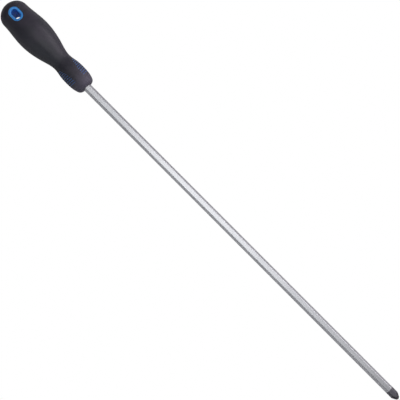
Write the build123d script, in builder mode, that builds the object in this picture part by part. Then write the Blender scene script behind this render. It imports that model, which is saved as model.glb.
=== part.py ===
from build123d import *
import os
from math import asin, cos, degrees, radians, sin, sqrt, tan

# A long cross-head screwdriver with a bare hexagon blade and a handle moulded in layers.
# Millimetres. The axis of the tool is the X axis. The point ends at the origin and faces +X,
# the handle lies towards -X, and the hang hole runs along Z.

# Blade
blade_exposed = 400.0  # from the front face of the handle to the end of the point
hex_across_flats = 7.0
hex_edge_radius = 0.45
tang_length = 68.0  # the bar inside the handle
tang_end_chamfer = 0.9
wing_span = 9.0  # pressed wings that stop the handle slipping round
wing_thickness = 3.2
wing_length = 13.0
wing_corner_radius = 2.0
wing_from_tang_end = 15.0
lock_groove_radius = 3.2  # turned just inside the handle, where the grip shrinks on to it
lock_groove_width = 1.2

# Cross point, number 3
point_half_angle = 26.5
nose_radius = 1.9  # where the taper of the four wings ends
nose_half_angle = 60.0
nose_flat_radius = 0.55
flute_root = 0.95  # from the axis to the bottom of a flute at the end of the point
flute_angle = 92.0
flute_depth = 4.2
cutter_radius = 12.0
cutter_past_end = 0.5
flute_count = 4

# Handle outline: distance back from the front face, and radius there
handle_length = 104.6
front_flat_radius = 5.3
front_round_radius = 3.9
front_round_angle = 66.0
bulge_back = 14.9
bulge_radius = 10.95
bulge_rear_back = 23.7
bulge_rear_radius = 10.5
neck_back = 31.4
neck_radius = 9.32
flank_back = 45.4
flank_radius = 12.15
belly_back = 69.4
belly_radius = 15.9
belly_to_shoulder = 14.0  # from the belly to where it runs into the butt
belly_rear_radius = 14.7
butt_radius = 14.0
butt_corner_radius = 11.0
crown_radius = 15.5

# Layers of the handle
grip_wall = 2.2
show_depth = 0.25  # the blue shows this far under the surface of the grip
core_start_back = 35.0
core_end_back = 76.0
core_front_radius = 6.2
core_radius = 9.0
core_end_round = 2.0
key_groove_count = 3
key_groove_width = 3.0
key_groove_depth = 1.0
key_groove_pitch = 9.0

# Hang hole: a slot along the axis, lined with the blue plastic
hole_from_end = 15.65
hole_length = 10.2
hole_width = 6.2
hole_lining = 2.1
hole_edge_radius = 0.6

# Finger ribs of blue plastic in both sides of the front bulge
rib_count = 9
rib_pitch = 2.1
rib_width = 0.45
first_rib_back = 9.2
rib_curve_radius = 28.0
rib_field_back = 13.4  # middle of the oval that the ribs fill
rib_field_length = 34.0
rib_field_height = 18.6
rib_root = 4.0  # each rib starts this far out from the axis

# Places worked out from the sizes above
front_x = -blade_exposed
butt_x = front_x - handle_length
belly_rear_back = belly_back + belly_to_shoulder
tang_end_x = front_x - tang_length
hex_corner = hex_across_flats / sqrt(3)
hole_x = butt_x + hole_from_end
reach = 2 * belly_radius  # past the surface of the handle everywhere
crown_x = butt_x + crown_radius
corner_to_crown = sqrt((crown_radius - butt_corner_radius) ** 2 - (butt_radius - butt_corner_radius) ** 2)
shoulder_x = crown_x - corner_to_crown
corner_turn = degrees(asin(corner_to_crown / (crown_radius - butt_corner_radius)))


# Half outline of the handle, drawn inset by a wall: a flat front, its rounding, one smooth curve
# through the bulge, neck and belly, and a butt of two arcs, the corner and the crown.
def handle_half(inset):
    with BuildSketch(Plane.XZ) as half:
        with BuildLine():
            rounding = JernArc(
                (front_x - inset, front_flat_radius),
                (0, 1),
                front_round_radius - inset,
                front_round_angle,
            )
            Spline(
                rounding @ 1,
                (front_x - bulge_back, bulge_radius - inset),
                (front_x - bulge_rear_back, bulge_rear_radius - inset),
                (front_x - neck_back, neck_radius - inset),
                (front_x - flank_back, flank_radius - inset),
                (front_x - belly_back, belly_radius - inset),
                (front_x - belly_rear_back, belly_rear_radius - inset),
                (shoulder_x, butt_radius - inset),
                tangents=[rounding % 1, (-1, 0)],
            )
            corner_centre = (shoulder_x, butt_radius - butt_corner_radius)
            CenterArc(corner_centre, butt_corner_radius - inset, 90, arc_size=corner_turn)
            crown = CenterArc(
                (crown_x, 0), crown_radius - inset, 90 + corner_turn, arc_size=90 - corner_turn
            )
            Polyline(crown @ 1, (front_x - inset, 0), rounding @ 0)
        make_face()
    return half.sketch


# Blade: hexagon bar with a flat on top, its point turned to two cones and cut by four flutes
with BuildPart() as blade:
    with BuildSketch(Plane.YZ.offset(tang_end_x)) as bar_section:
        RegularPolygon(hex_across_flats / 2, 6, major_radius=False)
        fillet(bar_section.vertices(), hex_edge_radius)
    extrude(amount=blade_exposed + tang_length)
    nose_x = -(nose_radius - nose_flat_radius) / tan(radians(nose_half_angle))
    cone_x = nose_x - (hex_corner - nose_radius) / tan(radians(point_half_angle))
    with BuildSketch(Plane.XZ) as turned_outline:
        with BuildLine():
            Polyline(
                (tang_end_x, 0),
                (tang_end_x, hex_corner - tang_end_chamfer),
                (tang_end_x + tang_end_chamfer, hex_corner),
                (front_x - lock_groove_width, hex_corner),
                (front_x - lock_groove_width, lock_groove_radius),
                (front_x, lock_groove_radius),
                (front_x, hex_corner),
                (cone_x, hex_corner),
                (nose_x, nose_radius),
                (0, nose_flat_radius),
                (0, 0),
                close=True,
            )
        make_face()
    revolve(axis=Axis.X, mode=Mode.INTERSECT)
    with BuildSketch(Plane.XY.offset(-wing_thickness / 2)):
        with Locations((tang_end_x + wing_from_tang_end, 0)):
            RectangleRounded(wing_length, wing_span, wing_corner_radius)
    extrude(amount=wing_thickness)
    flute_half_width = flute_depth * tan(radians(flute_angle / 2))
    for i in range(flute_count):
        turn = radians(360 / flute_count * (i + 0.5))
        outward = Vector(0, cos(turn), sin(turn))
        across = Vector(0, -sin(turn), cos(turn))
        cutter_centre = outward * (flute_root + cutter_radius) + Vector(cutter_past_end, 0, 0)
        with BuildSketch(Plane((cutter_past_end, 0, 0), x_dir=outward, z_dir=(-1, 0, 0))):
            Polygon(
                (flute_root, 0),
                (flute_root + flute_depth, flute_half_width),
                (flute_root + flute_depth, -flute_half_width),
                align=None,
            )
        revolve(axis=Axis(cutter_centre, across), mode=Mode.SUBTRACT)
blade.part.label = "blade"

# First shot: a barrel of hard plastic round the winged tang, grooved so that the next shot holds
with BuildPart() as inner_core:
    with BuildSketch(Plane.XZ) as barrel:
        with BuildLine():
            Polyline(
                (front_x - core_start_back, 0),
                (front_x - core_start_back, core_front_radius),
                (front_x - flank_back, core_radius),
                (front_x - core_end_back, core_radius),
                (front_x - core_end_back, 0),
                close=True,
            )
        make_face()
        rear_corner = barrel.vertices().group_by(Axis.Y)[-1].sort_by(Axis.X)[0]
        fillet(rear_corner, core_end_round)
        for i in range(key_groove_count):
            groove_x = front_x - flank_back - key_groove_pitch * (i + 0.5)
            with Locations((groove_x, core_radius)):
                SlotOverall(
                    2 * key_groove_depth + key_groove_width,
                    2 * key_groove_depth,
                    mode=Mode.SUBTRACT,
                )
    revolve(axis=Axis.X)
    add(blade.part, mode=Mode.SUBTRACT)
inner_core.part.label = "inner_core"

# The ribs and the column round the hang hole run through grip and core alike. Here they run on
# past the surface, and each layer takes its own stretch of them.
with BuildPart() as rib_bars:
    with BuildSketch(Plane.XZ.offset(-reach)):
        for i in range(rib_count):
            end_back = first_rib_back + rib_pitch * i
            from_middle = (end_back - rib_field_back) / (rib_field_length / 2)
            half_height = rib_field_height / 2 * sqrt(1 - from_middle**2)
            half_turn = asin(half_height / rib_curve_radius)
            curve_x = front_x - end_back + rib_curve_radius * cos(half_turn)
            curve = CenterArc(
                (curve_x, 0),
                rib_curve_radius,
                180 - degrees(half_turn),
                arc_size=2 * degrees(half_turn),
                mode=Mode.PRIVATE,
            )
            SlotArc(curve, rib_width)
    extrude(amount=reach - rib_root)
    mirror(about=Plane.XZ)

with BuildPart() as hole_column:
    with BuildSketch(Plane.XY.offset(-reach)):
        with Locations((hole_x, 0)):
            SlotOverall(hole_length + 2 * hole_lining, hole_width + 2 * hole_lining)
    extrude(amount=2 * reach)

with BuildPart() as shown_bars:
    add(rib_bars.part)
    add(hole_column.part)

# What lies under the grip all round
with BuildPart() as under_grip:
    add(handle_half(grip_wall))
    revolve(axis=Axis.X)

# Second shot: blue hard plastic, with the finger ribs and the lined hang hole
with BuildPart() as handle_core:
    add(handle_half(show_depth))
    revolve(axis=Axis.X)
    add(shown_bars.part, mode=Mode.INTERSECT)
    add(under_grip.part)
    with BuildSketch(Plane.XY.offset(-reach)):
        with Locations((hole_x, 0)):
            SlotOverall(hole_length, hole_width)
    extrude(amount=2 * reach, mode=Mode.SUBTRACT)
    mouths = handle_core.edges(Select.LAST).filter_by(Axis.Z, reverse=True)
    fillet(mouths, hole_edge_radius)
    add(inner_core.part, mode=Mode.SUBTRACT)
    add(blade.part, mode=Mode.SUBTRACT)
handle_core.part.label = "handle_core"

# Third shot: the soft black grip, which closes on the blade at the front face
with BuildPart() as soft_grip:
    add(handle_half(0))
    revolve(axis=Axis.X)
    add(under_grip.part, mode=Mode.SUBTRACT)
    add(rib_bars.part, mode=Mode.SUBTRACT)
    add(hole_column.part, mode=Mode.SUBTRACT)
    add(blade.part, mode=Mode.SUBTRACT)
soft_grip.part.label = "soft_grip"

os.makedirs("parts", exist_ok=True)
export_step(blade.part, "parts/blade.step")
export_step(inner_core.part, "parts/inner_core.step")
export_step(handle_core.part, "parts/handle_core.step")
export_step(soft_grip.part, "parts/soft_grip.step")
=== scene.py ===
import math

import bmesh
import bpy
import numpy as np
from mathutils import Matrix, Vector


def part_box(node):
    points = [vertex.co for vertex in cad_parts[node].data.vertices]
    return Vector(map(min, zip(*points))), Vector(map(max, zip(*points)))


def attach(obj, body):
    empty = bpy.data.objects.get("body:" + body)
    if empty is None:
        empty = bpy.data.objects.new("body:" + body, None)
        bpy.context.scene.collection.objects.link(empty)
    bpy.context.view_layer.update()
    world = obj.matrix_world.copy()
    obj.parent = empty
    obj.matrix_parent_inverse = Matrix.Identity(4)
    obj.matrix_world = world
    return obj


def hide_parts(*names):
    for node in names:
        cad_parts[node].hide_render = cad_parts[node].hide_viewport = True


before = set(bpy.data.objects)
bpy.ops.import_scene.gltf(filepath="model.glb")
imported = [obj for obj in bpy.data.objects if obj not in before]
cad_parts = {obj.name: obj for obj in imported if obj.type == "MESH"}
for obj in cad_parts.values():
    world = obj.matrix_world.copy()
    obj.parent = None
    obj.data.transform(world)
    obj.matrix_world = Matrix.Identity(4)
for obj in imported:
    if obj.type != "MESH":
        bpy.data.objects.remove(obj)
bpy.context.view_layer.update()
print("stage: frame loaded")

gripLow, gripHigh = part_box("soft_grip")
handleFront = gripHigh.x
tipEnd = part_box("blade")[1].x


# A wrapped output socket: expressions on values add Math nodes, and node() makes any other node
class Wire:
    def __init__(self, tree, socket=None):
        self.tree = tree
        self.socket = socket

    def node(self, kind, settings, inputs, output=0):
        made = self.tree.nodes.new("ShaderNode" + kind)
        for name, value in settings.items():
            setattr(made, name, value)
        for name, value in inputs.items():
            if isinstance(value, Wire):
                self.tree.links.new(value.socket, made.inputs[name])
            else:
                made.inputs[name].default_value = value
        return Wire(self.tree, made.outputs[output])

    def maths(self, operation, first, second):
        return self.node("Math", {"operation": operation}, {0: first, 1: second})

    def __add__(self, other):
        return self.maths("ADD", self, other)

    def __radd__(self, other):
        return self.maths("ADD", other, self)

    def __sub__(self, other):
        return self.maths("SUBTRACT", self, other)

    def __rsub__(self, other):
        return self.maths("SUBTRACT", other, self)

    def __mul__(self, other):
        return self.maths("MULTIPLY", self, other)

    def __rmul__(self, other):
        return self.maths("MULTIPLY", other, self)

    # From 0 at low to 1 at high, with a smooth start and end
    def step(self, low, high):
        settings = {"interpolation_type": "SMOOTHSTEP"}
        return self.node("MapRange", settings, {0: self, 1: low, 2: high, 3: 0.0, 4: 1.0})

    # The first colour where this is 0 and the second where it is 1
    def blend(self, colourA, colourB):
        return self.node("Mix", {"data_type": "RGBA"}, {0: self, 6: colourA, 7: colourB}, output=2)


# A new material: the material, its wire, the object coordinates in metres and its Principled shader
def newMaterial(name):
    material = bpy.data.materials.new(name)
    material.use_nodes = True
    tree = material.node_tree
    wire = Wire(tree)
    place = wire.node("TexCoord", {}, {}, output="Object")
    return material, wire, place, tree.nodes["Principled BSDF"]


# Set or link the shader's inputs
def plug(wire, shader, **values):
    names = {
        "colour": "Base Color",
        "roughness": "Roughness",
        "metallic": "Metallic",
        "normal": "Normal",
        "coat": "Coat Weight",
        "coatRoughness": "Coat Roughness",
        "specular": "Specular IOR Level",
    }
    for key, value in values.items():
        socket = shader.inputs[names[key]]
        if isinstance(value, Wire):
            wire.tree.links.new(value.socket, socket)
        else:
            socket.default_value = value


# Noise from 0 to 1 about 0.5, with so many features a metre, drawn out where stretch is under 1
def noise(wire, place, scale, detail=2.0, roughness=0.5, stretch=(1, 1, 1)):
    moved = wire.node("Mapping", {}, {"Vector": place, "Scale": stretch})
    inputs = {"Vector": moved, "Scale": scale, "Detail": detail, "Roughness": roughness}
    return wire.node("TexNoise", {}, inputs)


def bump(wire, height, distance):
    return wire.node("Bump", {}, {"Height": height, "Distance": distance, "Strength": 1.0})


def alongX(wire, place):
    return wire.node("SeparateXYZ", {}, {0: place}, output="X")


def mark(wire, name):
    return wire.node("Attribute", {"attribute_name": name}, {}, output="Fac")


rubber = {
    "deep": (0.036, 0.036, 0.047, 1),
    "pale": (0.049, 0.043, 0.061, 1),
    "dustAndHighlight": (0.150, 0.138, 0.190, 1),
    "roughness": 0.52,
    "specular": 0.5,
    "cloudScale": 55.0,
    "blotchScale": 210.0,
    "grainScale": 3200.0,
    "pitScale": 2100.0,
    "grainDepth": 0.000035,
    "highlightBack": (0.001, 0.016),
    "palmStart": (0.03, 0.055),
    "palmEnd": (0.08, 0.1),
    "dust": 0.25,
}


# Soft overmould: a fine spark-eroded grain and a cloudy bloom, with a painted highlight that turns the
# colour lighter and more violet towards the front face, rubbed smoother where the palm holds it, with
# dust caught in the rib slots
def makeRubber():
    material, wire, place, shader = newMaterial("gripRubber")
    back = handleFront - alongX(wire, place)
    cloud = noise(wire, place, rubber["cloudScale"], 4.0, 0.6)
    blotch = noise(wire, place, rubber["blotchScale"], 3.0)
    grain = noise(wire, place, rubber["grainScale"], 3.0, 0.65)
    pits = wire.node("TexVoronoi", {}, {"Vector": place, "Scale": rubber["pitScale"]})
    palm = back.step(*rubber["palmStart"]) * (1 - back.step(*rubber["palmEnd"]))
    # Painted highlight: over the first 16 mm behind the front face the colour is pushed towards the
    # pale violet, for light from the tip side; the random blotches and the dust in the rib slots use
    # the same pale colour
    frontEnd = 1 - back.step(*rubber["highlightBack"])
    highlightAndBlotch = frontEnd * (0.55 + (cloud - 0.5) * 0.8) + (blotch - 0.5) * 0.16
    colour = cloud.step(0.35, 0.68).blend(rubber["deep"], rubber["pale"])
    colour = (highlightAndBlotch + mark(wire, "sunk") * rubber["dust"]).blend(colour, rubber["dustAndHighlight"])
    uneven = (cloud - 0.5) * 0.16 + (blotch - 0.5) * 0.08
    roughness = rubber["roughness"] + uneven - palm * 0.05 + highlightAndBlotch * 0.12
    normal = bump(wire, grain * 0.7 + pits * 0.6, rubber["grainDepth"])
    plug(wire, shader, colour=colour, roughness=roughness, specular=rubber["specular"], normal=normal)
    return material


bluePlastic = {
    "base": (0.070, 0.37, 0.94, 1),
    "pale": (0.095, 0.43, 1.0, 1),
    "shadedBlue": (0.075, 0.205, 0.56, 1),
    "roughness": 0.33,
    "coat": 0.2,
    "coatRoughness": 0.18,
    "cloudScale": 95.0,
    "flowScale": 420.0,
    "scuffScale": 650.0,
    "grainScale": 1500.0,
    "grainDepth": 0.000006,
    "shadeBack": (0.04, 0.07),
}


# Harder blue shot: semi gloss, with slight flow marks and a few dull scuffs, and darker and greyer
# towards
# the front over the finger ribs: painted shade for the narrow rib slots
def makeBlue():
    material, wire, place, shader = newMaterial("bluePlastic")
    cloud = noise(wire, place, bluePlastic["cloudScale"], 4.0)
    flow = noise(wire, place, bluePlastic["flowScale"], 2.0, 0.5, (0.25, 1, 1))
    grain = noise(wire, place, bluePlastic["grainScale"], 2.0)
    scuff = noise(wire, place, bluePlastic["scuffScale"], 4.0, 0.7, (1, 0.3, 1)).step(0.6, 0.68)
    streaks = (cloud * 0.6 + flow * 0.4).step(0.35, 0.65)
    back = handleFront - alongX(wire, place)
    colour = streaks.blend(bluePlastic["base"], bluePlastic["pale"])
    # Painted shade: the blue is darker and greyer over the front 40 to 70 mm, where the finger ribs sit
    # deep in their slots
    colour = (1 - back.step(*bluePlastic["shadeBack"])).blend(colour, bluePlastic["shadedBlue"])
    roughness = bluePlastic["roughness"] + (cloud - 0.5) * 0.12 + scuff * 0.16
    normal = bump(wire, grain + flow * 0.5, bluePlastic["grainDepth"])
    plug(
        wire, shader, colour=colour, roughness=roughness, normal=normal,
        coat=bluePlastic["coat"], coatRoughness=bluePlastic["coatRoughness"],
    )
    return material


plating = {
    "bright": (0.72, 0.725, 0.745, 1),
    "dull": (0.64, 0.645, 0.67, 1),
    "black": (0.165, 0.158, 0.180, 1),
    "worn": (0.36, 0.35, 0.36, 1),
    "roughness": 0.33,
    "lineScale": 600.0,
    "bandScale": 180.0,
    "smudgeScale": 60.0,
    "speckScale": 900.0,
    "grainDepth": 0.000003,
    "blackLength": 0.012,
    "blackFade": 0.0002,
}


# Satin chrome over a drawn bar, so the marks run lengthways. The last stretch is chemically
# blackened, and its edges are rubbed back towards bare steel.
def makePlating():
    material, wire, place, shader = newMaterial("satinPlating")
    lines = noise(wire, place, plating["lineScale"], 2.0, 0.5, (0.012, 1, 1))
    bands = noise(wire, place, plating["bandScale"], 2.0, 0.5, (0.05, 1, 1))
    smudge = noise(wire, place, plating["smudgeScale"], 3.0, 0.5)
    speck = noise(wire, place, plating["speckScale"], 2.0, 0.5)
    edge = tipEnd - plating["blackLength"]
    ragged = alongX(wire, place) + (smudge - 0.5) * 0.0006 + (speck - 0.5) * 0.0002
    black = ragged.step(edge - plating["blackFade"], edge + plating["blackFade"])
    worn = mark(wire, "edgeWear") * black * (speck * 0.6 + smudge * 0.8).step(0.45, 0.9)
    steel = (bands * 0.45 + lines * 0.15 + smudge * 0.4).step(0.34, 0.66)
    colour = black.blend(steel.blend(plating["dull"], plating["bright"]), plating["black"])
    colour = worn.blend(colour, plating["worn"])
    uneven = (lines - 0.5) * 0.03 + (smudge - 0.5) * 0.06
    roughness = plating["roughness"] + uneven + black * 0.12 - worn * 0.1
    height = lines * (1 - black) * 0.12 + speck * black
    normal = bump(wire, height, plating["grainDepth"])
    plug(wire, shader, colour=colour, roughness=roughness, metallic=1 - black * 0.45, normal=normal)
    return material


firstShot = {
    "dark": (0.10, 0.10, 0.11, 1),
    "pale": (0.14, 0.14, 0.15, 1),
    "roughness": 0.5,
    "cloudScale": 120.0,
    "grainScale": 1800.0,
    "grainDepth": 0.00002,
}


# Hidden first shot: unpainted grey plastic as moulded
def makeFirstShot():
    material, wire, place, shader = newMaterial("firstShotPlastic")
    cloud = noise(wire, place, firstShot["cloudScale"], 3.0)
    grain = noise(wire, place, firstShot["grainScale"], 2.0)
    colour = cloud.blend(firstShot["dark"], firstShot["pale"])
    roughness = firstShot["roughness"] + (grain - 0.5) * 0.2
    normal = bump(wire, grain, firstShot["grainDepth"])
    plug(wire, shader, colour=colour, roughness=roughness, normal=normal)
    return material


looks = {
    "blade": makePlating(),
    "inner_core": makeFirstShot(),
    "handle_core": makeBlue(),
    "soft_grip": makeRubber(),
}
for name, material in looks.items():
    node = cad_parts[name]
    node.data.materials.clear()
    node.data.materials.append(material)
print("stage: materials made")


mm = 0.001
front = handleFront / mm  # lengths below are in millimetres, and "back" is measured from the front face


# Smooth rise from 0 to 1: 3 x^2 - 2 x^3
def fade(x):
    x = np.clip(x, 0, 1)
    return x * x * (3 - 2 * x)


# Cubic spline through points (n, 2), with unit end directions: each piece is a cubic in the chord
# length, and the inner slopes are the ones that make its second derivative continuous
def splinePoints(points, startWay, endWay, count):
    knots = np.concatenate(([0], np.cumsum(np.linalg.norm(np.diff(points, axis=0), axis=1))))
    gap = np.diff(knots)
    n = len(points)
    system = np.eye(n)
    target = np.zeros((n, 2))
    target[0], target[-1] = startWay, endWay
    inner = np.arange(1, n - 1)
    system[inner, inner - 1] = gap[1:]
    system[inner, inner] = 2 * (gap[:-1] + gap[1:])
    system[inner, inner + 1] = gap[:-1]
    rise = np.diff(points, axis=0) / gap[:, None]
    target[1:-1] = 3 * (gap[1:, None] * rise[:-1] + gap[:-1, None] * rise[1:])
    slopes = np.linalg.solve(system, target)
    along = np.linspace(0, knots[-1], count)
    i = np.clip(np.searchsorted(knots, along, side="right") - 1, 0, n - 2)
    h = gap[i][:, None]
    t = ((along - knots[i]) / gap[i])[:, None]
    return (
        points[i] * (1 + 2 * t) * (1 - t) ** 2
        + slopes[i] * h * t * (1 - t) ** 2
        + points[i + 1] * t**2 * (3 - 2 * t)
        + slopes[i + 1] * h * t**2 * (t - 1)
    )


# Distance from the axis to a hexagon with a flat towards +Z: flat / cos(turn) along a flat, and
# the far side of a small circle at each rounded corner
def hexagonRadius(angle, flat, edgeRadius):
    turn = np.mod(angle - math.pi / 2 + math.pi / 6, math.pi / 3) - math.pi / 6
    corner = (flat - edgeRadius) / math.cos(math.pi / 6)
    off = math.pi / 6 - np.abs(turn)
    bulge = np.sqrt(np.maximum(edgeRadius**2 - (corner * np.sin(off)) ** 2, 0))
    onFlat = flat * np.tan(np.abs(turn)) < corner / 2
    return np.where(onFlat, flat / np.cos(turn), corner * np.cos(off) + bulge)


# Points at x, radius cos(angle), radius sin(angle), row after row
def turnedPoints(x, radius, angle):
    return np.stack((x, radius * np.cos(angle), radius * np.sin(angle)), axis=-1).reshape(-1, 3)


# Quads between neighbouring rows of a grid of indices, closed round each row
def ringFaces(grid):
    after = np.roll(grid, -1, axis=1)
    return np.stack((grid[:-1], after[:-1], after[1:], grid[1:]), axis=-1).reshape(-1, 4)


# Triangles from a pole to each stretch of the row beside it
def fanFaces(pole, row):
    return np.column_stack((np.full(len(row), pole), row, np.roll(row, -1)))


# Put points (n, 3) in millimetres and their faces into a closed piece that stands for a CAD node
def makePiece(name, points, quads, triangles, node, marks):
    used = np.unique(np.concatenate((quads.ravel(), triangles.ravel())))
    number = np.zeros(len(points), int)
    number[used] = np.arange(len(used))
    mesh = bpy.data.meshes.new(name)
    faces = number[quads].tolist() + number[triangles].tolist()
    mesh.from_pydata((points[used] * mm).tolist(), [], faces)
    for title, values in marks.items():
        layer = mesh.attributes.new(title, "FLOAT", "POINT")
        layer.data.foreach_set("value", values[used].astype(np.float32))
    work = bmesh.new()
    work.from_mesh(mesh)
    bmesh.ops.recalc_face_normals(work, faces=work.faces)
    work.to_mesh(mesh)
    work.free()
    mesh.shade_smooth()
    mesh.materials.append(looks[node])
    piece = bpy.data.objects.new(name, mesh)
    bpy.context.scene.collection.objects.link(piece)
    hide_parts(node)
    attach(piece, "root")


grip = {
    "sides": 216,
    "flatRadius": 5.3,
    "roundRadius": 3.9,
    "roundTurn": math.radians(66),
    "roundRows": 8,
    "outline": [
        (14.9, 10.95), (23.7, 10.5), (31.4, 9.32), (45.4, 12.15), (69.4, 15.9), (83.4, 14.7),
    ],
    "length": 104.6,
    "buttRadius": 14.0,
    "cornerRadius": 11.0,
    "crownRadius": 15.5,
    "bladeFlat": 3.52,
    "bladeEdge": 0.45,
    "mouthDepth": 1.4,
    "mouth": [(1.4, 0), (0.25, 0), (0.08, 0.04), (0, 0.12), (0, 0.4), (0, 0.8)],  # back, way out
    "frontStep": 1.15,
    "bellyRows": 45,
    "cornerRows": 3,
    "crownRows": 10,
}
ribs = {
    "count": 9,
    "pitch": 2.1,
    "firstBack": 9.2,
    "curve": 28.0,
    "middleBack": 13.4,
    "fieldLength": 34.0,
    "fieldHeight": 18.6,
    "slotHalf": 0.245,
    "wallLean": 0.008,
    "lip": 0.16,
    "slotDepth": 0.6,
    "clear": 0.9,
    "bowStart": 5.0,
    "bowEndBack": 48.0,
    "bowEnd": 16.0,
    "bowHeight": 12.0,
}
hole = {
    "back": 88.95,
    "halfWidth": 5.22,
    "halfStraight": 2.0,
    "lip": 0.35,
    "patchBack": (79.0, 98.6),
    "patchRows": 18,
    "patchShares": (0.75, 0.5, 0.28, 0.12),
    "lipShares": (1.0, 0.62, 0.3, 0.1, 0.0),
    "walls": 5,
}


# Outline of the handle behind its front rounding: the spline through the outline's points, then
# the arcs of the butt's corner and of its crown
def gripProfile():
    corner, crown = grip["cornerRadius"], grip["crownRadius"]
    cornerToCrown = math.sqrt((crown - corner) ** 2 - (grip["buttRadius"] - corner) ** 2)
    crownBack = grip["length"] - crown
    shoulder = crownBack + cornerToCrown
    turn = math.asin(cornerToCrown / (crown - corner))
    bend = grip["roundTurn"]
    start = (
        grip["roundRadius"] * (1 - math.cos(bend)),
        grip["flatRadius"] + grip["roundRadius"] * math.sin(bend),
    )
    through = np.array([start] + grip["outline"] + [(shoulder, grip["buttRadius"])])
    side = splinePoints(through, (math.sin(bend), math.cos(bend)), (1, 0), 2000)
    around = np.linspace(0, turn, 300)[1:, None]
    centre = (shoulder, grip["buttRadius"] - corner)
    cornerArc = centre + corner * np.hstack((np.sin(around), np.cos(around)))
    around = np.linspace(turn, math.pi / 2, 300)[1:, None]
    crownArc = (crownBack, 0) + crown * np.hstack((np.sin(around), np.cos(around)))
    return {
        "points": np.vstack((side, cornerArc, crownArc)),
        "startBack": start[0],
        "shoulder": shoulder,
        "crownBack": crownBack,
        "turn": turn,
    }


profile = gripProfile()


def radiusAt(back):
    return np.interp(back, profile["points"][:, 0], profile["points"][:, 1])


# Rows of the mouth round the blade, the flat front face and its rounding: the face's radius goes
# from the hexagon's to the flat's by a share, and the rounding is an arc
def frontRows(angle):
    hexagon = hexagonRadius(angle, grip["bladeFlat"], grip["bladeEdge"])
    back, share = np.array(grip["mouth"]).T[:, :, None]
    face = hexagon + share * (grip["flatRadius"] - hexagon)
    bend = np.linspace(0, grip["roundTurn"], grip["roundRows"] + 1)[:-1, None]
    rounding = grip["flatRadius"] + grip["roundRadius"] * np.sin(bend)
    back = np.vstack((back, grip["roundRadius"] * (1 - np.cos(bend))))
    return back + 0 * angle, np.vstack((face, rounding + 0 * angle))


# Where each finger rib crosses the middle of the side, and how far it reaches from there: the
# ribs are arcs that start on a line and fill an oval
def ribPlaces():
    endBack = ribs["firstBack"] + ribs["pitch"] * np.arange(ribs["count"])
    fromMiddle = (endBack - ribs["middleBack"]) / (ribs["fieldLength"] / 2)
    halfHeight = ribs["fieldHeight"] / 2 * np.sqrt(1 - fromMiddle**2)
    return endBack + ribs["curve"] - np.sqrt(ribs["curve"] ** 2 - halfHeight**2), halfHeight


# Rows from the front rounding to the end of the hole's patch. They bow forwards like the ribs, by
# curve - sqrt(curve^2 - height^2), and sink in along each rib: a quarter circle for the lip, then
# the slot's full depth.
def sideRows(angle):
    ribBack, halfHeight = ribPlaces()
    wall, lip, curve = ribs["slotHalf"], ribs["lip"], ribs["curve"]
    lipLines = [wall + ribs["wallLean"], wall + 0.3 * lip, wall + 0.65 * lip, wall + lip]
    across = np.array([0, wall] + lipLines)
    slotLines = (ribBack[:, None] + np.concatenate((-across[:0:-1], across))).ravel()
    lines = np.sort(np.concatenate((
        slotLines,
        (ribBack[1:] + ribBack[:-1]) / 2,
        np.arange(profile["startBack"] + 0.02, ribBack[0] - ribs["clear"], grip["frontStep"]),
        np.linspace(ribBack[-1] + ribs["clear"], hole["patchBack"][0], grip["bellyRows"] + 1)[:-1],
        np.linspace(*hole["patchBack"], hole["patchRows"]),
    )))[:, None]

    bowed = fade((lines - profile["startBack"]) / ribs["bowStart"])
    bowed = bowed * fade((ribs["bowEndBack"] - lines) / ribs["bowEnd"])
    height = radiusAt(lines) * np.sin(angle)
    for _ in range(3):
        limited = np.minimum(height, ribs["bowHeight"])
        back = lines - bowed * (curve - np.sqrt(curve**2 - limited**2))
        height = radiusAt(back) * np.sin(angle)

    off = np.abs(lines - ribBack)
    nearest = off.argmin(axis=1)
    off = off.min(axis=1)[:, None]
    over = np.clip((wall + lip - off) / lip, 0, 1)
    rolled = lip * (1 - np.sqrt(np.maximum(1 - over**2, 0)))
    sunk = np.where(off <= wall + 0.001, ribs["slotDepth"], rolled)
    sunk = sunk * fade((halfHeight[nearest][:, None] + wall + lip - np.abs(height)) / lip)
    return back, radiusAt(back) - sunk, sunk


# Rows of the butt: the rest of the corner's arc, then the crown's
def buttRows(angle):
    corner, turn = grip["cornerRadius"], profile["turn"]
    firstTurn = math.asin((hole["patchBack"][1] - profile["shoulder"]) / corner)
    bend = np.linspace(firstTurn, turn, grip["cornerRows"] + 1)[1:, None]
    sweep = np.linspace(turn, math.pi / 2, grip["crownRows"] + 2)[1:-1, None]
    back = np.vstack((
        profile["shoulder"] + corner * np.sin(bend),
        profile["crownBack"] + grip["crownRadius"] * np.sin(sweep),
    ))
    radius = np.vstack((
        grip["buttRadius"] + corner * (np.cos(bend) - 1),
        grip["crownRadius"] * np.cos(sweep),
    ))
    return back + 0 * angle, radius + 0 * angle


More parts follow.
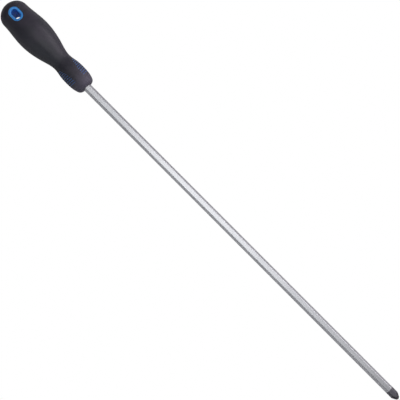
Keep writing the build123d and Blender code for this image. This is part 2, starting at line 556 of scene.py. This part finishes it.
# Rings from a patch's edge (n, 2) to the hang hole, over its lip and through to the far side: each
# lies on rays from the hole's middle, at a share of the way out from the slot, and rises to
# sqrt(radius^2 - y^2), less a quarter circle's drop at the lip
def holeRings(edge):
    middle = np.array([front - hole["back"], 0])
    way = (edge - middle) / np.linalg.norm(edge - middle, axis=1)[:, None]
    c, s = np.abs(way[:, 0]), np.maximum(np.abs(way[:, 1]), 1e-9)
    width, straight, lip = hole["halfWidth"], hole["halfStraight"], hole["lip"]
    roundEnd = straight * c + np.sqrt(np.maximum(width**2 - (straight * s) ** 2, 0))
    reach = np.where(width * c / s < straight, width / s, roundEnd)[:, None]
    slot = middle + way * reach
    room = np.linalg.norm(edge - slot, axis=1)[:, None]

    def ring(out, drop):
        plan = slot + way * out
        top = np.sqrt(radiusAt(front - plan[:, 0]) ** 2 - plan[:, 1] ** 2) - drop
        return np.column_stack((plan, top))

    upper = [ring(lip + share * (room - lip), 0) for share in hole["patchShares"]]
    for share in hole["lipShares"]:
        upper.append(ring(lip * share, lip * (1 - math.sqrt(1 - (1 - share) ** 2))))
    shares = np.linspace(1, -1, hole["walls"] + 2)[1:-1]
    tunnel = upper[-1] * np.stack((0 * shares + 1, 0 * shares + 1, shares), axis=-1)[:, None]
    return np.concatenate((upper, tunnel, np.array(upper)[::-1] * (1, 1, -1)))


# Skin of the grip: radius outline(back) turned about the axis. Round the hang hole the rows give
# way, above and below, to rings that join the two patches through the handle.
def makeGripSkin():
    sides = grip["sides"]
    angle = np.arange(sides) * 2 * math.pi / sides
    frontBack, frontRadius = frontRows(angle)
    sideBack, sideRadius, sunk = sideRows(angle)
    buttBack, buttRadius = buttRows(angle)
    back = np.vstack((frontBack, sideBack, buttBack))
    radius = np.vstack((frontRadius, sideRadius, buttRadius))
    grid = np.arange(back.size).reshape(back.shape)
    poles = [[front - grip["mouthDepth"], 0, 0], [front - grip["length"], 0, 0]]
    points = np.vstack((turnedPoints(front - back, radius, angle), poles))
    fans = np.vstack((fanFaces(grid.size, grid[0]), fanFaces(grid.size + 1, grid[-1])))

    k1 = len(frontBack) + len(sideBack) - 1  # the patch's last row, and its first
    k0 = k1 + 1 - hole["patchRows"]
    j0, j1 = sides // 6, sides // 3  # its first and last column
    kept = np.ones((len(grid) - 1, sides), bool)
    kept[k0:k1, j0:j1] = False
    kept[k0:k1, sides - j1:sides - j0] = False
    skin = ringFaces(grid)[kept.ravel()]

    columns = np.concatenate((
        np.arange(j0, j1), np.full(k1 - k0, j1), np.arange(j1, j0, -1), np.full(k1 - k0, j0)
    ))
    rows = np.concatenate((
        np.full(j1 - j0, k0), np.arange(k0, k1), np.full(j1 - j0, k1), np.arange(k1, k0, -1)
    ))
    topEdge = grid[rows, columns]
    lowEdge = grid[rows, (sides - columns) % sides]
    rings = holeRings(points[topEdge][:, :2])
    inner = len(points) + np.arange(rings.shape[0] * rings.shape[1]).reshape(rings.shape[:2])
    lining = ringFaces(np.vstack((topEdge, inner, lowEdge)))
    points = np.vstack((points, rings.reshape(-1, 3)))

    depth = np.zeros(len(points))
    depth[grid[len(frontBack):k1 + 1].ravel()] = (sunk / ribs["slotDepth"]).ravel()
    quads = np.vstack((skin, lining))
    makePiece("gripSkin", points, quads, fans, "soft_grip", {"sunk": depth})


bar = {
    "sides": 180,
    "flat": 3.5,
    "edge": 0.45,
    "tang": 68.0,
    "tangChamfer": 0.9,
    "wingSpan": 4.5,
    "wingHalfThickness": 1.6,
    "wingMiddle": 53.0,
    "wingHalfLength": 6.5,
    "wingCorner": 2.0,
    "pointTurn": math.radians(26.5),
    "noseRadius": 1.9,
    "noseTurn": math.radians(60),
    "noseFlat": 0.55,
    "fluteRoot": 0.95,
    "fluteTurn": math.radians(46),
    "fluteLength": 11.3,
    "cutterRadius": 12.0,
    "cutterPast": 0.5,
    "pointLength": 12.9,
    "soft": 0.05,
    "wearWidth": 0.16,
    "wearLength": 0.5,
    "clear": 20.0,  # further out than any surface
}
hexagonCorner = bar["flat"] / math.cos(math.pi / 6)
noseBack = (bar["noseRadius"] - bar["noseFlat"]) / math.tan(bar["noseTurn"])
coneBack = noseBack + (hexagonCorner - bar["noseRadius"]) / math.tan(bar["pointTurn"])


# Places of the rows along the blade: few along the plain bar, and close together at the wings,
# the flutes and the cones of the point
def bladeRows(tangEnd, wingMiddle, end):
    wing = wingMiddle + bar["wingHalfLength"] * np.sin(np.linspace(-math.pi / 2, math.pi / 2, 13))
    return np.concatenate((
        [tangEnd, tangEnd + bar["tangChamfer"], wing[0] - 0.05], wing, [wing[-1] + 0.05],
        [front - 1.5, front],
        np.linspace(front + 5, end - 14, 40),
        end - np.linspace(13, coneBack + 0.3, 30),
        end - np.linspace(coneBack, noseBack + 0.02, 40),
        end - np.linspace(noseBack, 0, 10),
    ))[:, None]


# Distance from the axis to the wings' slab: half thickness / |sin|, or half span / |cos|, where
# the span is less round each corner
def wingRadius(along, angle):
    intoCorner = np.maximum(along - bar["wingHalfLength"] + bar["wingCorner"], 0)
    rounding = np.sqrt(np.maximum(bar["wingCorner"] ** 2 - intoCorner**2, 0))
    span = bar["wingSpan"] - bar["wingCorner"] + rounding
    return np.minimum(
        bar["wingHalfThickness"] / np.maximum(np.abs(np.sin(angle)), 1e-6),
        span / np.maximum(np.abs(np.cos(angle)), 1e-6),
    )


# Distance from the axis to the four flutes, found by halving. A flute is a V turned about a
# cutter's axis: its height at a width w is root + R - sqrt((R - w / tan(V / 2))^2 - (back + past)^2).
def fluteRadius(back, angle):
    turn = np.abs(np.mod(angle, math.pi / 2) - math.pi / 4)[None, :]
    low = np.zeros((len(back), len(angle)))
    high = low + 9
    for _ in range(40):
        middle = (low + high) / 2
        cut = bar["cutterRadius"] - middle * np.sin(turn) / math.tan(bar["fluteTurn"])
        inside = np.maximum(cut**2 - (back + bar["cutterPast"]) ** 2, 0)
        floor = bar["fluteRoot"] + bar["cutterRadius"] - np.sqrt(inside)
        below = (middle * np.cos(turn) < floor) & (cut > 0)
        low, high = np.where(below, middle, low), np.where(below, high, middle)
    return np.where((back < bar["fluteLength"]) & (low >= 1e-3), low, bar["clear"])


# The blade: distance from the axis is the least of the hexagon, the cones of the point and the
# four flutes, blended by -k ln(sum exp(-r / k)) where two meet. The tang has a chamfer and wings.
def makeBladeSkin():
    end = tipEnd / mm
    angle = np.arange(bar["sides"]) * 2 * math.pi / bar["sides"]
    tangEnd = front - bar["tang"]
    wingMiddle = front - bar["wingMiddle"]
    x = bladeRows(tangEnd, wingMiddle, end)
    radius = hexagonRadius(angle, bar["flat"], bar["edge"])[None, :] + 0 * x
    chamfer = hexagonCorner - bar["tangChamfer"] + (x - tangEnd)
    radius = np.where(x < tangEnd + bar["tangChamfer"] + 0.01, np.minimum(radius, chamfer), radius)
    along = np.abs(x - wingMiddle)
    winged = np.maximum(radius, wingRadius(along, angle))
    radius = np.where(along <= bar["wingHalfLength"] + 0.001, winged, radius)

    back = end - x
    cone = np.minimum(
        bar["noseRadius"] + (back - noseBack) * math.tan(bar["pointTurn"]),
        bar["noseFlat"] + back * math.tan(bar["noseTurn"]),
    )
    near = back < bar["pointLength"]
    surfaces = np.stack((radius, cone + 0 * radius, fluteRadius(back, angle)))
    least = surfaces.min(axis=0)
    blended = least - bar["soft"] * np.log(np.exp(-(surfaces - least) / bar["soft"]).sum(axis=0))
    radius = np.where(near, blended, radius)
    surfaces.sort(axis=0)
    onEdge = np.exp(-(((surfaces[1] - surfaces[0]) / bar["wearWidth"]) ** 2))
    wear = np.where(near, onEdge, 0) + np.exp(-back / bar["wearLength"])

    grid = np.arange(radius.size).reshape(radius.shape)
    points = turnedPoints(x + 0 * radius, radius, angle)
    points = np.vstack((points, [[tangEnd, 0, 0], [end, 0, 0]]))
    fans = np.vstack((fanFaces(grid.size, grid[0]), fanFaces(grid.size + 1, grid[-1])))
    wear = np.append(np.clip(wear, 0, 1).ravel(), (0, 1))
    makePiece("bladeBar", points, ringFaces(grid), fans, "blade", {"edgeWear": wear})


makeGripSkin()
print("stage: grip skin made")
makeBladeSkin()
print("stage: blade made")


view = {
    "distance": 0.740,
    "halfWidth": 0.1818,
    "sensor": 36,
    "aimFromFront": 0.14503,
    "aimAside": 0.00015,
    "turn": math.radians(45.162),
    "roll": math.radians(5.0),
    "lean": math.radians(-0.15),
}


# The camera looks down on the tool, turned, rolled and leaned a little. Returns the aim and the
# directions of the image's right and top and of the camera.
def makeCamera():
    aim = Vector((handleFront + view["aimFromFront"], view["aimAside"], 0))
    back = Vector((-math.sin(view["lean"]), -math.sin(view["roll"]), 1))
    back.z = math.sqrt(1 - back.x**2 - back.y**2)
    right = Vector((math.cos(view["turn"]), math.sin(view["turn"]), 0))
    right = (right - right.dot(back) * back).normalized()
    up = back.cross(right)
    data = bpy.data.cameras.new("camera")
    data.sensor_width = view["sensor"]
    data.lens = view["sensor"] / 2 * view["distance"] / view["halfWidth"]
    camera = bpy.data.objects.new("camera", data)
    turn = Matrix((right, up, back)).transposed().to_4x4()
    camera.matrix_world = Matrix.Translation(aim + view["distance"] * back) @ turn
    bpy.context.scene.collection.objects.link(camera)
    bpy.context.scene.camera = camera
    return aim, right, up, back


aim, imageRight, imageUp, towardsCamera = makeCamera()

ground = {"half": 3.0, "bellyX": -0.470, "bellyToPoint": 0.465, "grey": (0.8, 0.8, 0.8, 1)}


# The tool lies on its belly and on its point, so the floor slopes a little along it. The camera
# sees it white, and the tool is lit by it as by a pale grey.
def makeFloor():
    half = ground["half"]
    lean = math.atan2(-gripLow.z - bar["flat"] * mm, ground["bellyToPoint"])
    turn = Matrix.Rotation(-lean, 4, "Y")
    belly = Vector((ground["bellyX"], 0, gripLow.z))
    corners = [(-half, -half, 0), (half, -half, 0), (half, half, 0), (-half, half, 0)]
    mesh = bpy.data.meshes.new("floor")
    mesh.from_pydata([tuple(turn @ Vector(c) + belly) for c in corners], [], [(0, 1, 2, 3)])
    floor = bpy.data.objects.new("floor", mesh)
    bpy.context.scene.collection.objects.link(floor)
    material = bpy.data.materials.new("paleFloor")
    material.use_nodes = True
    tree = material.node_tree
    wire = Wire(tree)
    tree.nodes.remove(tree.nodes["Principled BSDF"])
    seen = wire.node("LightPath", {}, {}, output="Is Camera Ray")
    matt = wire.node("BsdfDiffuse", {}, {"Color": ground["grey"]})
    white = wire.node("Emission", {}, {"Color": (1, 1, 1, 1), "Strength": 1.0})
    both = wire.node("MixShader", {}, {0: seen, 1: matt, 2: white})
    tree.links.new(both.socket, tree.nodes["Material Output"].inputs["Surface"])
    mesh.materials.append(material)


makeFloor()

studio = {"dim": (0.008, 0.008, 0.009, 1), "white": (1, 1, 1, 1)}


# A dark room that shows as a white backdrop
def makeWorld():
    bpy.context.scene.view_settings.view_transform = "Standard"
    world = bpy.data.worlds.new("studio")
    bpy.context.scene.world = world
    world.use_nodes = True
    tree = world.node_tree
    wire = Wire(tree)
    seen = wire.node("LightPath", {}, {}, output="Is Camera Ray")
    colour = seen.blend(studio["dim"], studio["white"])
    tree.links.new(colour.socket, tree.nodes["Background"].inputs["Color"])


makeWorld()

softboxes = {  # place in metres right, up and towards the camera from the aim; size; watts; colour
    "key": ((0.75, 0.75, 0.6), (0.9, 0.9), 2.7, (1.05, 0.97, 1.06)),
    "low": ((0.6, 0.5, 0.25), (0.8, 0.4), 1.3, (1.04, 0.98, 1.05)),
    "lowTip": ((0.6, 0.05, 0.25), (0.5, 0.35), 0.2, (1, 1, 1)),
    "side": ((0.95, 0.3, 0.8), (0.8, 0.8), 2.2, (1.04, 0.98, 1.05)),
    "top": ((0.0, 0.0, 1.2), (0.5, 0.5), 1.0, (1, 1, 1)),
    "wideTop": ((0.1, 0.1, 1.2), (1.3, 1.3), 3.8, (0.98, 1, 1.02)),
    "fill": ((-0.75, -0.75, 0.6), (0.9, 0.9), 1.65, (0.9, 1.01, 1.04)),
}


# A rectangular softbox that faces the aim
def addSoftbox(name, place, size, power, colour):
    data = bpy.data.lights.new(name, "AREA")
    data.shape = "RECTANGLE"
    data.size, data.size_y = size
    data.energy = power
    data.color = colour
    light = bpy.data.objects.new(name, data)
    axes = Matrix((imageRight, imageUp, towardsCamera)).transposed()
    away = axes @ Vector(place)
    turn = (-away).to_track_quat("-Z", "Y").to_matrix().to_4x4()
    light.matrix_world = Matrix.Translation(aim + away) @ turn
    bpy.context.scene.collection.objects.link(light)


for name, (place, size, power, colour) in softboxes.items():
    addSoftbox(name + "Softbox", place, size, power, colour)
print("stage: camera and light set")
